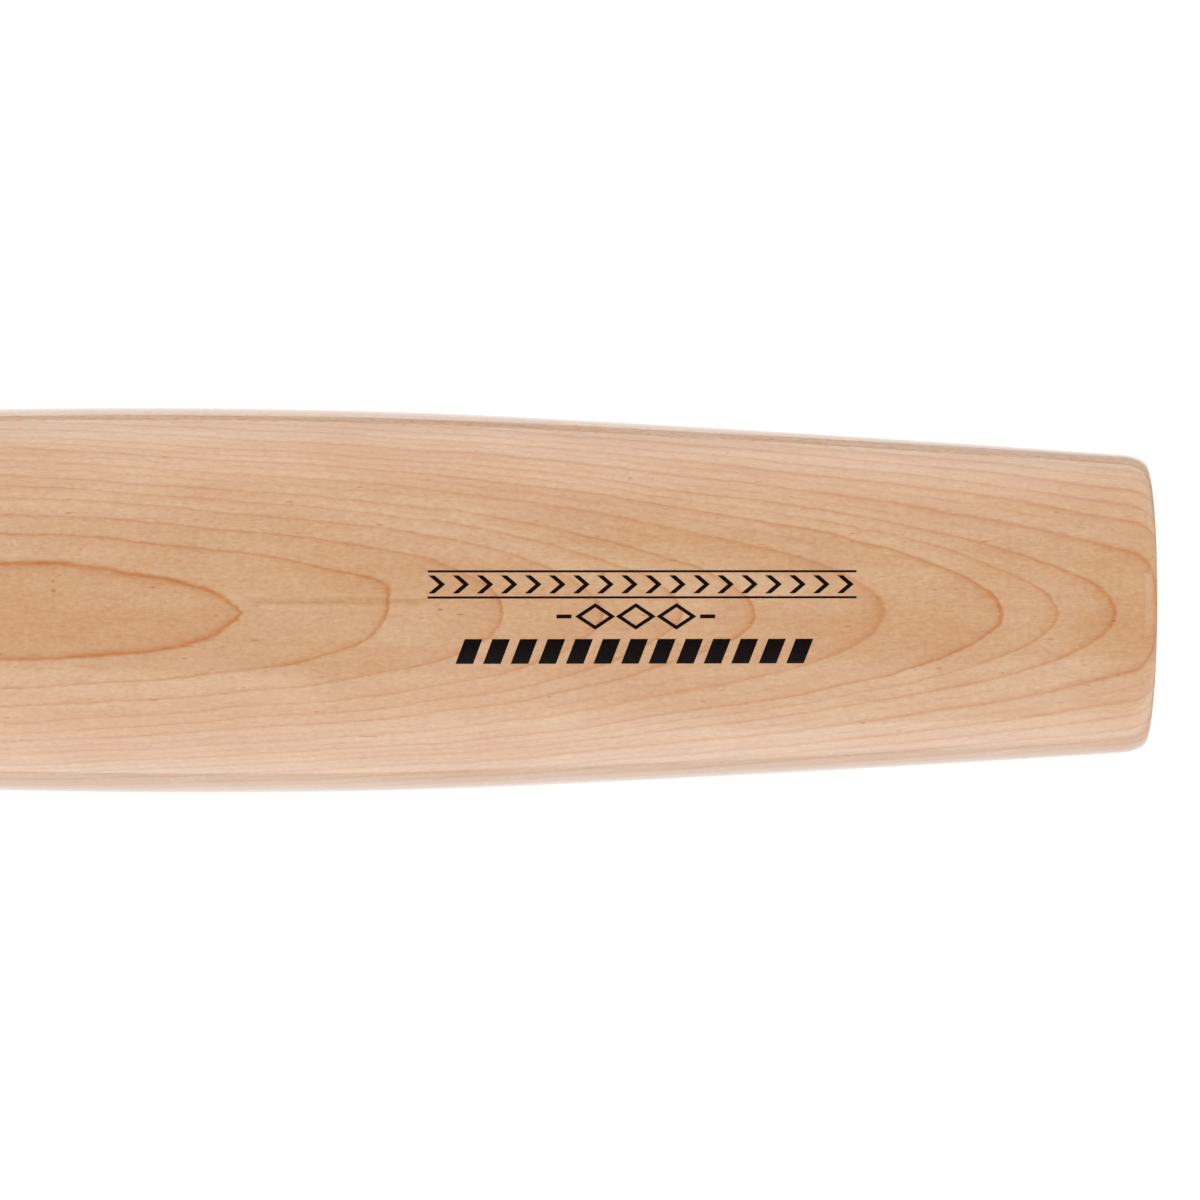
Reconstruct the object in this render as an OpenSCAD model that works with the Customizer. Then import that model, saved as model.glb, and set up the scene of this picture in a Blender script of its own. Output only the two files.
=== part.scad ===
// Adult baseball bat, 33 inches long: a turned maple barrel glued into a composite handle.
// The bat lies along +X. The origin is the centre of the knob's flat end, which is where every
// length on a bat is measured from, and the printed face of the barrel is up, at +Z.
// All sizes are in millimetres.

/* [Whole bat] */
// Length from the knob's flat end to the barrel's rim
bat_length = 838.2; // [812.8:12.7:863.6]
// Distance from the knob's end to the barrel's shoulder at the seam
seam_x = 405; // [395:5:420]

/* [Barrel] */
// Largest diameter of the barrel
barrel_d = 63.5; // [60:0.1:66]
// Distance of the largest diameter from the barrel's rim
belly_from_rim = 160; // [150:5:170]
// Distance of the nose's knee from the barrel's rim
knee_from_rim = 100; // [90:5:110]
// Diameter of the nose at its knee
knee_d = 60.66; // [58.6:0.1:61]
// Diameter at the rim, before its edge is rounded
rim_d = 48.67; // [46:0.1:52]
// Width of the cup in the barrel's end
cup_d = 34; // [26:1:36]
// Depth of the cup in the barrel's end
cup_depth = 20; // [15:1:25]

/* [Handle] */
// Outer diameter of the handle where the hands hold it
handle_d = 24; // [23:0.2:26]
// Wall of the composite tube in the grip zone
handle_wall = 2.8; // [2:0.1:3.5]
// Length of the maple spigot inside the handle's socket
spigot_length = 90; // [70:5:95]
// Thickness of the adhesive between the spigot and the socket
bond = 0.5; // [0.3:0.1:0.8]

/* [Knob] */
// Largest diameter of the knob
knob_d = 50.8; // [46:0.2:52]
// Diameter of the disc inlaid in the knob's end
medallion_d = 27; // [20:1:28]

/* [Grip] */
// Distance from the knob's end to the top of the grip
grip_top = 303; // [280:1:305]
// Thickness of the grip wrap
grip_thick = 1.15; // [0.8:0.05:1.8]
// Thickness of the double-sided tape under the grip
tape_thick = 0.15; // [0.1:0.05:0.2]

/* [Hidden] */
$fn = 96;

handle_r = handle_d / 2;
bore_r = handle_r - handle_wall;

// Stations of the turned outline: [distance from the knob's end, radius, slope].
grip_zone_end = [200, handle_r, 0];
taper_start = [305, handle_r + 0.5, 0.011];
taper_middle = [500, 23.2, 0.083];
belly = [bat_length - belly_from_rim, barrel_d / 2, 0];
knee = [bat_length - knee_from_rim, knee_d / 2, -0.0505];
rim = [bat_length, rim_d / 2, -0.0694];
outline = [grip_zone_end, taper_start, taper_middle, belly, knee, rim];
outline_step = 12;

// Rim: the outer edge rolls over, then a flat ring, then the lip of the cup.
rim_roll = 4;
rim_drop = 1.5;
cup_lip = 2.5;

// Ring in the seam, between the handle's mouth and the barrel's shoulder.
ring_width = 3;
ring_proud = 0.25;
mouth_x = seam_x - ring_width;

// Socket: a cone that opens from the handle's bore to its mouth.
socket_flare = 3.4;
spigot_tip = mouth_x - spigot_length;
tip_chamfer = 2;
socket_start = spigot_tip - 6;

// Foam dam, just clear of the spigot's tip.
plug_length = 30;
plug_end = spigot_tip - 2;

// Knob: an elliptical back, a round shoulder, a hollow neck and a short skirt on the handle.
knob_middle = 9;
knob_back_rise = 8;
shoulder_r = 6;
neck_r = 14;
knob_seat = 6;
knob_skirt_end = 30;
seat_depth = 0.8;
knob_bond_thick = 0.15;
medallion_thick = 1.2;
medallion_gap = 0.1;

// Grip: starts part of the way up the knob's neck, and the band laps over its top.
grip_start = 20;
tape_start = neck_centre()[1];
band_lap = 6;
band_tail = 12;
band_step = 3;
band_thick = 0.35;

// Cubic through two stations, at a share t of the way from a to b.
function cubic(a, b, t) =
    let (span = b[0] - a[0], t2 = t * t, t3 = t2 * t)
    (2 * t3 - 3 * t2 + 1) * a[1] + (t3 - 2 * t2 + t) * span * a[2]
    + (3 * t2 - 2 * t3) * b[1] + (t3 - t2) * span * b[2];

// Index of the outline's span that holds x.
function span_at(x, i = 0) =
    i >= len(outline) - 2 || x <= outline[i + 1][0] ? i : span_at(x, i + 1);

// Radius of the turned outline at a distance x from the knob's end.
function turned(x) =
    let (i = span_at(x), a = outline[i], b = outline[i + 1])
    x <= grip_zone_end[0] ? handle_r : cubic(a, b, (x - a[0]) / (b[0] - a[0]));

// Points [radius, x] along the turned outline, moved out by a margin. The straight grip zone
// needs only its first point.
function turned_points(x0, x1, margin = 0) =
    let (bend = max(x0, grip_zone_end[0]), n = max(1, ceil((x1 - bend) / outline_step)))
    concat(x0 < bend ? [[handle_r + margin, x0]] : [],
           [for (i = [0 : n]) let (x = bend + (x1 - bend) * i / n) [turned(x) + margin, x]]);

// Points [radius, x] on an ellipse about [r, x], from angle a0 to a1. Angle 0 points away from
// the bat's axis and 90 towards the barrel.
function bow(r, x, half_r, half_x, a0, a1, n) =
    [for (i = [0 : n]) let (a = a0 + (a1 - a0) * i / n) [r + half_r * cos(a), x + half_x * sin(a)]];

// Radius of the socket's cone, and of the spigot inside its adhesive.
function socket(x) = bore_r + socket_flare * (x - socket_start) / (mouth_x - socket_start);
function spigot(x) = socket(x) - bond;

// Centre of the neck's hollow arc, which touches the shoulder's arc and the handle's surface.
function neck_centre() =
    let (rise = handle_r + neck_r - (knob_d / 2 - shoulder_r))
    [handle_r + neck_r, knob_middle + sqrt(pow(shoulder_r + neck_r, 2) - rise * rise)];

function backwards(points) = [for (i = [len(points) - 1 : -1 : 0]) points[i]];

// Solid of revolution about the bat's axis from points [radius, x].
module turn(points) {
    rotate([0, 90, 0])
        rotate_extrude()
            polygon(points);
}

// Outer edge of the rim: the turned outline less an elliptical roll.
function rolled_edge(n = 8) =
    [for (i = [0 : n])
        let (a = 90 * i / n, x = bat_length - rim_roll * (1 - sin(a)))
        [turned(x) - rim_drop * (1 - cos(a)), x]];

// Cup: a rounded lip, then half an ellipse down to the axis.
function cup_points(n = 12) =
    let (bottom_rise = cup_depth - cup_lip)
    concat(bow(cup_d / 2 + cup_lip, bat_length - cup_lip, cup_lip, cup_lip, 90, 180, 6),
           [for (i = [1 : n]) let (a = 90 * i / n)
               [cup_d / 2 * cos(a), bat_length - cup_lip - bottom_rise * sin(a)]]);

// Turned maple in one piece: spigot, shoulder, taper, belly, nose, rim and cup.
module barrel() {
    tip = [[0, spigot_tip],
           [spigot(spigot_tip) - tip_chamfer, spigot_tip],
           [spigot(spigot_tip + tip_chamfer), spigot_tip + tip_chamfer]];
    color("#D5AF91")
        turn(concat(tip,
                    [[spigot(seam_x), seam_x]],
                    turned_points(seam_x, bat_length - rim_roll),
                    rolled_edge(),
                    cup_points()));
}

// Moulded rubber ring that fills the seam, with a slightly crowned outside.
module seam_ring(n = 8) {
    crown = [for (i = [0 : n]) let (x = mouth_x + ring_width * i / n)
        [turned(x) + ring_proud * sin(180 * i / n), x]];
    color("#17181A")
        turn(concat([[spigot(mouth_x), mouth_x]], crown, [[spigot(seam_x), seam_x]]));
}

// Cured adhesive between the spigot and the handle's socket.
module spigot_bond() {
    start = spigot_tip + tip_chamfer;
    color("#C9B458")
        turn([[spigot(start), start], [socket(start), start],
              [socket(mouth_x), mouth_x], [spigot(mouth_x), mouth_x]]);
}

// Composite tube: a stepped seat for the knob, the grip zone, and a mouth that flares to meet
// the barrel.
module handle_shell() {
    seat_r = handle_r - seat_depth;
    color("#1B1C1F")
        turn(concat([[bore_r, knob_seat], [seat_r, knob_seat], [seat_r, knob_skirt_end]],
                    turned_points(knob_skirt_end, mouth_x),
                    [[socket(mouth_x), mouth_x], [bore_r, socket_start]]));
}

// Foam dam in the bore, which keeps the adhesive in the socket and stops rattles.
module foam_plug() {
    color("#E9E4D2")
        turn([[0, plug_end - plug_length], [bore_r, plug_end - plug_length],
              [bore_r, socket_start], [socket(plug_end), plug_end], [0, plug_end]]);
}

// Knob's outside from the middle of its edge: a round shoulder, then the hollow neck.
function knob_front() =
    let (c = neck_centre(),
         shoulder_centre_r = knob_d / 2 - shoulder_r,
         lean = atan2(c[1] - knob_middle, c[0] - shoulder_centre_r))
    concat(bow(shoulder_centre_r, knob_middle, shoulder_r, shoulder_r, 0, lean, 8),
           bow(c[0], c[1], -neck_r, -neck_r, lean, 0, 10));

// Moulded knob, bored from the front for the handle and recessed behind for its disc.
module knob() {
    recess_r = medallion_d / 2 + medallion_gap;
    bore = handle_r - seat_depth + knob_bond_thick;
    back = bow(knob_d / 2 - knob_back_rise, knob_middle, knob_back_rise, knob_middle, -90, -9, 9);
    color("#141517")
        turn(concat([[0, medallion_thick], [recess_r, medallion_thick], [recess_r, 0]],
                    back,
                    knob_front(),
                    [[handle_r, knob_skirt_end], [bore, knob_skirt_end],
                     [bore, knob_seat], [0, knob_seat]]));
}

// Adhesive between the knob and the handle's stepped seat.
module knob_bond() {
    inner = handle_r - seat_depth;
    outer = inner + knob_bond_thick;
    color("#C9B458")
        turn([[inner, knob_seat], [outer, knob_seat],
              [outer, knob_skirt_end], [inner, knob_skirt_end]]);
}

// Disc inlaid flush in the knob's end.
module knob_medallion() {
    color("#8C8F94")
        turn([[0, 0], [medallion_d / 2, 0], [medallion_d / 2, medallion_thick],
              [0, medallion_thick]]);
}

// Double-sided tape under the grip.
module grip_tape() {
    color("#D9D6CC")
        turn(concat(turned_points(tape_start, grip_top),
                    backwards(turned_points(tape_start, grip_top, tape_thick))));
}

// Radius of the knob's neck, or of the tape where that is larger.
function neck(x) =
    let (c = neck_centre())
    max(c[0] - sqrt(neck_r * neck_r - pow(x - c[1], 2)), handle_r + tape_thick);

// Synthetic leather wrap, as a plain sleeve of the wrap's thickness.
module grip_wrap(n = 6) {
    on_neck = [for (i = [0 : n - 1])
        let (x = grip_start + (tape_start - grip_start) * i / n) [neck(x), x]];
    under = concat(on_neck, turned_points(tape_start, grip_top, tape_thick));
    over = [for (p = under) [p[0] + grip_thick, p[1]]];
    color("#1A1A1C")
        turn(concat(under, backwards(over)));
}

// Vinyl band that finishes the top of the grip and laps on to the handle.
module finishing_band() {
    proud = tape_thick + grip_thick;
    start = grip_top - band_lap;
    end = grip_top + band_tail;
    landing = grip_top + band_step;
    color("#0E0F10")
        turn([[turned(start) + proud, start],
              [turned(start) + proud + band_thick, start],
              [turned(grip_top) + proud + band_thick, grip_top],
              [turned(landing) + band_thick, landing],
              [turned(end) + band_thick, end],
              [turned(end), end],
              [turned(grip_top), grip_top],
              [turned(grip_top) + proud, grip_top]]);
}

barrel();
seam_ring();
spigot_bond();
handle_shell();
foam_plug();
knob();
knob_bond();
knob_medallion();
grip_tape();
grip_wrap();
finishing_band();
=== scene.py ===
import math

import bmesh
import bpy
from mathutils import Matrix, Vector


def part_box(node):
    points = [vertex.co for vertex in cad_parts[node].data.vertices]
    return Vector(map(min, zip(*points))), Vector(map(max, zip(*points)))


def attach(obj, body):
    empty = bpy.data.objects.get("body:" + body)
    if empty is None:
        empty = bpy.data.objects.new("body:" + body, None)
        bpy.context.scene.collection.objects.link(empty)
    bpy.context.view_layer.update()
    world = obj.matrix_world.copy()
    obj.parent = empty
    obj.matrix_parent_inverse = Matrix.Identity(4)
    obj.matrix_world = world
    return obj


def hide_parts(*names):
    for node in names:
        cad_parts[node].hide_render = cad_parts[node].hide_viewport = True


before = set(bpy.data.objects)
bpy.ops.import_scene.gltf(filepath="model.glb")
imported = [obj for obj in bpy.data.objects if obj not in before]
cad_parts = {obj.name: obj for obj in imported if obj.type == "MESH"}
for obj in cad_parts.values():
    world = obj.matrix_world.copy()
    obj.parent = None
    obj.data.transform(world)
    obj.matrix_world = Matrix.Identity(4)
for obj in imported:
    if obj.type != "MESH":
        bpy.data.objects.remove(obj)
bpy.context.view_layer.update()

# A two-piece baseball bat: maple barrel, composite handle, wrapped grip and moulded knob.
# Everything is in metres in Blender. The outline and the wood are worked out in millimetres,
# with x measured from the knob's end along the bat.
MM = 0.001
BODY = "root"


def span(node):
    """Where a CAD node starts and ends along the bat, in millimetres."""
    low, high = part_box(node)
    return low[0] / MM, high[0] / MM


# ---------------------------------------------------------------- sizes, as in the CAD design
SPIGOT_TIP, LENGTH = span("barrel")
MOUTH_X, SEAM_X = span("seam_ring")
KNOB_SEAT = span("handle_shell")[0]
KNOB_SKIRT_END = span("knob")[1]
GRIP_START, GRIP_TOP = span("grip_wrap")
MEDALLION_THICK = span("knob_medallion")[1]

HANDLE_R = 12.0
GRIP_ZONE_END = 200.0
STATIONS = (
    # distance from the knob's end, radius, slope
    (GRIP_ZONE_END, HANDLE_R, 0.0),
    (305.0, HANDLE_R + 0.5, 0.011),
    (500.0, 23.2, 0.083),
    (LENGTH - 160.0, 31.75, 0.0),
    (LENGTH - 100.0, 30.33, -0.0505),
    (LENGTH, 24.335, -0.0694),
)
RIM_ROLL = 4.0
RIM_DROP = 1.5
CUP_LIP = 2.5
CUP_R = 17.0
CUP_DEPTH = 20.0
BORE_R = 9.2
SOCKET_FLARE = 3.4
SOCKET_START = SPIGOT_TIP - 6.0
BOND = 0.5
TIP_CHAMFER = 2.0
SEAT_DEPTH = 0.8
TAPE_THICK = 0.15
GRIP_THICK = 1.15
KNOB_R = 25.4
KNOB_MIDDLE = 9.0
SHOULDER_R = 6.0
NECK_R = 14.0


def turned(x):
    """Radius of the turned outline at x, by a cubic between the two stations around it."""
    if x <= STATIONS[0][0]:
        return HANDLE_R
    for (xa, ra, sa), (xb, rb, sb) in zip(STATIONS, STATIONS[1:]):
        if x <= xb:
            break
    w = xb - xa
    t = (x - xa) / w
    t2, t3 = t * t, t * t * t
    return (
        (2 * t3 - 3 * t2 + 1) * ra
        + (t3 - 2 * t2 + t) * w * sa
        + (3 * t2 - 2 * t3) * rb
        + (t3 - t2) * w * sb
    )


def turned_points(x0, x1, step=3.0):
    """(x, radius) points of the turned outline from x0 to x1."""
    n = max(1, math.ceil((x1 - x0) / step))
    places = [x0 + (x1 - x0) * i / n for i in range(n + 1)]
    return [(x, turned(x)) for x in places]


def socket(x):
    """Radius of the handle's flared socket at x."""
    return BORE_R + SOCKET_FLARE * (x - SOCKET_START) / (MOUTH_X - SOCKET_START)


def spigot(x):
    """Radius of the barrel's spigot at x."""
    return socket(x) - BOND


# ---------------------------------------------------------------- mesh helpers
def add_object(name, mesh, material):
    """A new piece that rides on the bat's body."""
    piece = bpy.data.objects.new(name, mesh)
    bpy.context.scene.collection.objects.link(piece)
    mesh.materials.append(material)
    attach(piece, BODY)
    return piece


def smooth(mesh, sharp_degrees=35):
    mesh.shade_smooth()
    mesh.set_sharp_from_angle(angle=math.radians(sharp_degrees))


def write(bm, mesh):
    """Turns all faces outwards and puts them in the mesh."""
    bmesh.ops.recalc_face_normals(bm, faces=bm.faces)
    bm.to_mesh(mesh)
    bm.free()


def lathe(name, outline, material, segments=192):
    """A closed solid turned about the bat's axis from (x, radius) points in millimetres."""
    verts, rings = [], []
    for x, r in outline:
        if r < 1e-6:
            rings.append([len(verts)])
            verts.append((x * MM, 0.0, 0.0))
            continue
        rings.append(list(range(len(verts), len(verts) + segments)))
        for i in range(segments):
            a = 2 * math.pi * i / segments
            verts.append((x * MM, r * MM * math.cos(a), r * MM * math.sin(a)))
    faces = []
    pairs = list(zip(rings, rings[1:]))
    if len(rings[0]) > 1:
        pairs.append((rings[-1], rings[0]))
    for a, b in pairs:
        for i in range(segments):
            j = (i + 1) % segments
            if len(a) == 1:
                faces.append((a[0], b[j], b[i]))
            elif len(b) == 1:
                faces.append((a[i], a[j], b[0]))
            else:
                faces.append((a[i], a[j], b[j], b[i]))
    mesh = bpy.data.meshes.new(name)
    mesh.from_pydata(verts, [], faces)
    mesh.validate()
    smooth(mesh)
    return add_object(name, mesh, material)


# ---------------------------------------------------------------- shader helpers
class Graph:
    """Short calls that add nodes to one material and return their output sockets."""

    def __init__(self, name, **uniform):
        self.material = bpy.data.materials.new(name)
        self.material.use_nodes = True
        self.tree = self.material.node_tree
        self.shader = self.tree.nodes["Principled BSDF"]
        for key, value in uniform.items():
            self.shader.inputs[key.replace("_", " ")].default_value = value

    def feed(self, socket_in, value):
        """Links a socket or sets a value. A colour is three numbers, and its alpha is 1."""
        if isinstance(value, bpy.types.NodeSocket):
            self.tree.links.new(value, socket_in)
        elif value is not None:
            socket_in.default_value = (*value, 1.0) if socket_in.type == "RGBA" else value

    def add(self, kind, inputs=(), **props):
        node = self.tree.nodes.new("ShaderNode" + kind)
        for key, value in props.items():
            setattr(node, key, value)
        for key, value in dict(inputs).items():
            self.feed(node.inputs[key], value)
        return node

    def math(self, operation, a, b=None, c=None):
        """One operation on up to three numbers or sockets."""
        return self.add("Math", {0: a, 1: b, 2: c}, operation=operation).outputs[0]

    def plus(self, a, b):
        return self.math("ADD", a, b)

    def minus(self, a, b):
        return self.math("SUBTRACT", a, b)

    def times(self, first, *others):
        for other in others:
            first = self.math("MULTIPLY", first, other)
        return first

    def over(self, a, b):
        return self.math("DIVIDE", a, b)

    def times_plus(self, a, b, c):
        """a * b + c"""
        return self.math("MULTIPLY_ADD", a, b, c)

    def length(self, a, b):
        """The long side of a right-angled triangle with sides a and b."""
        return self.math("SQRT", self.plus(self.times(a, a), self.times(b, b)))

    def swing(self, value, reach):
        """A value from 0 to 1 as one from -reach to reach."""
        return self.times_plus(value, 2 * reach, -reach)

    def scaled(self, vector, factors):
        node = self.add("VectorMath", {0: vector, 1: factors}, operation="MULTIPLY")
        return node.outputs[0]

    def shrunk(self, vector, sizes):
        """The vector in units of these sizes."""
        return self.scaled(vector, tuple(1 / size for size in sizes))

    def noise(self, vector, sizes=(1, 1, 1), detail=2.0, rough=0.5):
        """Noise from 0 to 1 whose blotches have about these sizes."""
        inputs = {"Vector": self.shrunk(vector, sizes), "Scale": 1.0, "Detail": detail, "Roughness": rough}
        return self.add("TexNoise", inputs).outputs["Fac"]

    def three_noises(self, vector, sizes):
        """Three separate noises from 0 to 1."""
        inputs = {"Vector": self.shrunk(vector, sizes), "Scale": 1.0}
        return self.split(self.add("TexNoise", inputs).outputs["Color"])

    def cells(self, vector, size):
        """Distance from the middles of cells of about this size."""
        inputs = {"Vector": self.shrunk(vector, (size, size, size)), "Scale": 1.0}
        return self.add("TexVoronoi", inputs).outputs["Distance"]

    def step(self, value, low, high, to_low=0.0, to_high=1.0):
        """A smooth step of value between low and high."""
        inputs = {0: value, 1: low, 2: high, 3: to_low, 4: to_high}
        return self.add("MapRange", inputs, interpolation_type="SMOOTHSTEP").outputs[0]

    def ramp(self, value, low, high, to_low=0.0, to_high=1.0):
        """A straight rise of value between low and high, level outside them."""
        return self.add("MapRange", {0: value, 1: low, 2: high, 3: to_low, 4: to_high}).outputs[0]

    def mix(self, factor, a, b, blend_type="MIX"):
        """From colour a to colour b. The sockets go by number, because their names repeat."""
        return self.add("Mix", {0: factor, 6: a, 7: b}, data_type="RGBA", blend_type=blend_type).outputs[2]

    def tint(self, factor, colour, by):
        """The colour multiplied by another, as far as factor says."""
        return self.mix(factor, colour, by, "MULTIPLY")

    def object_mm(self):
        """The point on the piece, in millimetres in the bat's frame."""
        return self.scaled(self.add("TexCoord").outputs["Object"], (1000, 1000, 1000))

    def split(self, vector):
        return self.add("SeparateXYZ", {0: vector}).outputs

    def join(self, x, y, z):
        return self.add("CombineXYZ", {0: x, 1: y, 2: z}).outputs[0]

    def bump(self, height, distance_mm, strength):
        node = self.add("Bump", {"Height": height, "Distance": distance_mm * MM, "Strength": strength})
        self.feed(self.shader.inputs["Normal"], node.outputs[0])

    def colour(self, value):
        self.feed(self.shader.inputs["Base Color"], value)

    def roughness(self, value):
        self.feed(self.shader.inputs["Roughness"], value)


def srgb(r, g, b):
    """A display colour from 0 to 255 as linear light."""
    def linear(c):
        c /= 255
        return c / 12.92 if c <= 0.04045 else ((c + 0.055) / 1.055) ** 2.4
    return (linear(r), linear(g), linear(b))


# The clear coat over the wood and the ink. All of the shine is the coat's.
LACQUER = {"Coat_Weight": 1.0, "Coat_Roughness": 0.03, "Coat_IOR": 1.5, "Specular_IOR_Level": 0.0}


# ---------------------------------------------------------------- maple
# Growth rings: widths in millimetres, from the printed face inwards. Deeper in they are even.
FIRST_RING = 34.5
RING_WIDTHS = (0.7, 0.85, 1.0, 0.85, 0.85, 1.7, 1.75, 0.8, 0.9, 2.0, 2.5, 1.8, 2.3, 2.5)
INNER_RING_WIDTH = 2.1
OUTER_RING_WIDTH = 1.2
RING_STRENGTHS = (1.0, 1.0, 0.75, 0.6, 0.65, 0.8, 0.55, 1.0, 0.5, 0.75, 0.85, 0.8, 0.7, 0.8, 0.7)
RING_LEVELS = [FIRST_RING - sum(RING_WIDTHS[:i]) for i in range(len(RING_WIDTHS) + 1)]
FAINT_LINES = (29.4, 27.7, 24.2, 21.9)
RING_RANGE = (-40.0, 44.0)
TYPICAL_RING = 1.5
RING_LEAN = math.radians(3.4)

# How far a ring line reaches either side, in millimetres, and the depths between which it turns bold.
LINE_OUTER = 0.16
LINE_INNER, LINE_INNER_AT_TIP, LINE_INNER_BOLD = 0.22, 0.36, 0.1
BOLD_DEPTHS = (33.9, 34.3)
FAINT_LINE_FALL = 4.5

# Where the mineral streak comes in and goes out along the bat, and its two half widths.
STREAK_START, STREAK_END, STREAK_SIDE = (690.0, 695.0), (716.0, 724.0), (0.2, 1.0)

# The rings' shape. Lengths are in millimetres, and distances back are from the barrel's end.
SHAPED_REACH = 185.0
ARC_SPREAD = 290.0
BEND_START, BEND_SPAN, BEND_POWER, BEND_RISE = 110.0, 68.0, 1.6, 0.9
DIP, DIP_CHANGE, DIP_FURTHER_BACK = 0.036, 0.00013, 0.012
BLUNT_SPREAD, BLUNT_RISE, BLUNT_FROM, BLUNT_TO = 80.0, 0.5, 75.0, 112.0
NOSE_ROUND, NOSE_WIDTH, NOSE_LEVEL, NOSE_RISE, NOSE_FROM, NOSE_TO = 0.15, 2.2, 0.84, 0.05, 134.0, 146.0
BULGE_ACROSS, BULGE_WIDTH, BULGE_BACK, BULGE_LENGTH, BULGE_RISE = 5.5, 3.0, 122.0, 7.0, 0.15
SLOPE_AT_END, SLOPE_CHANGE, LEAST_SLOPE, SIDE_SLOPE = 0.106, 0.00062, 0.013, 0.78


def bell(g, value, centre, width):
    """A smooth hump, 1 at its centre."""
    off = g.over(g.minus(value, centre), width)
    return g.math("EXPONENT", g.times(off, off, -1.0))


def ring_depth(g, x, y, z):
    """Distance across the growth rings in millimetres, and how fast it changes over the surface.

    Also how much of that change is along the bat, and how much is sideways."""
    turn_cos, turn_sin = math.cos(RING_LEAN), math.sin(RING_LEAN)
    across = g.plus(g.times(y, turn_cos), g.times(z, turn_sin))
    up = g.minus(g.times(z, turn_cos), g.times(y, turn_sin))
    back = g.minus(LENGTH, x)
    near = g.math("MINIMUM", back, SHAPED_REACH)
    beyond = g.math("MAXIMUM", g.minus(back, SHAPED_REACH), 0.0)
    squared = g.times(across, across)

    # wide arcs that bend more sharply further back, and dip towards the barrel's end
    past = g.math("MAXIMUM", g.over(g.minus(near, BEND_START), BEND_SPAN), 0.0)
    bend = g.math("POWER", past, BEND_POWER)
    depth = g.plus(up, g.times(g.over(squared, ARC_SPREAD), g.plus(bend, 1.0)))
    depth = g.times_plus(near, g.minus(DIP, g.times(near, DIP_CHANGE)), depth)
    depth = g.times_plus(bend, BEND_RISE, depth)
    depth = g.times_plus(beyond, DIP_FURTHER_BACK, depth)

    # the arches are blunt from BLUNT_FROM on, and the last one comes to a nose
    blunt = g.minus(1.0, g.math("EXPONENT", g.over(squared, -BLUNT_SPREAD)))
    depth = g.times_plus(g.times(blunt, BLUNT_RISE), g.step(near, BLUNT_FROM, BLUNT_TO), depth)
    aside = g.math("SQRT", g.plus(squared, NOSE_ROUND))
    nose = g.minus(g.math("EXPONENT", g.over(aside, -NOSE_WIDTH)), NOSE_LEVEL)
    depth = g.times_plus(g.times(nose, NOSE_RISE), g.step(near, NOSE_FROM, NOSE_TO), depth)

    # the last arch but one has a shoulder on one side
    bulge = g.times(bell(g, across, BULGE_ACROSS, BULGE_WIDTH), bell(g, near, BULGE_BACK, BULGE_LENGTH))
    depth = g.times_plus(bulge, BULGE_RISE, depth)

    lengthwise = g.math("MAXIMUM", g.minus(SLOPE_AT_END, g.times(back, SLOPE_CHANGE)), LEAST_SLOPE)
    radius = g.math("MAXIMUM", g.length(across, up), 1.0)
    sideways = g.times(g.over(across, radius), SIDE_SLOPE)
    slope = g.length(lengthwise, sideways)
    return depth, slope, g.over(lengthwise, slope), g.math("ABSOLUTE", sideways)


def curve_through(g, value, points):
    """A value read off straight lines between (input, output) points, both from 0 to 1."""
    node = g.add("FloatCurve", {"Value": value})
    curve = node.mapping.curves[0]
    curve.points[0].location = points[0]
    curve.points[1].location = points[-1]
    for point in points[1:-1]:
        curve.points.new(*point)
    for point in curve.points:
        point.handle_type = "VECTOR"
    node.mapping.update()
    return node.outputs[0]


def ring_count(g, depth):
    """How many rings lie below this depth: whole numbers fall on the ring lines."""
    low, high = RING_RANGE
    inner = round((RING_LEVELS[-1] - low) / INNER_RING_WIDTH)
    total = inner + len(RING_WIDTHS) + (high - FIRST_RING) / OUTER_RING_WIDTH
    ladder = enumerate(RING_LEVELS[::-1])
    points = [(0.0, 0.0)]
    points += [((level - low) / (high - low), (inner + i) / total) for i, level in ladder]
    points += [(1.0, 1.0)]
    return g.times(curve_through(g, g.ramp(depth, low, high), points), total)


def ring_strength(g, depth):
    """How boldly the ring line at this depth is drawn."""
    low, high = RING_LEVELS[-1], FIRST_RING
    ladder = zip(RING_LEVELS[::-1], RING_STRENGTHS[::-1])
    points = [((level - low) / (high - low), strength) for level, strength in ladder]
    return curve_through(g, g.ramp(depth, low, high), points)


def wandering(g, p):
    """The point, moved a little, most of all along the fibres, so that the growth lines wander."""
    x, y, z = g.split(p)
    wavy = g.three_noises(p, (18, 8, 8))
    ragged = g.three_noises(p, (2.4, 1.1, 1.1))
    slide = g.plus(g.swing(wavy[0], 2.5), g.swing(ragged[0], 1.3))
    turn = g.plus(g.swing(wavy[1], 0.03), g.swing(ragged[1], 0.0045))
    return g.plus(x, slide), g.times_plus(z, turn, y), g.minus(z, g.times(y, turn))


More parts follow.
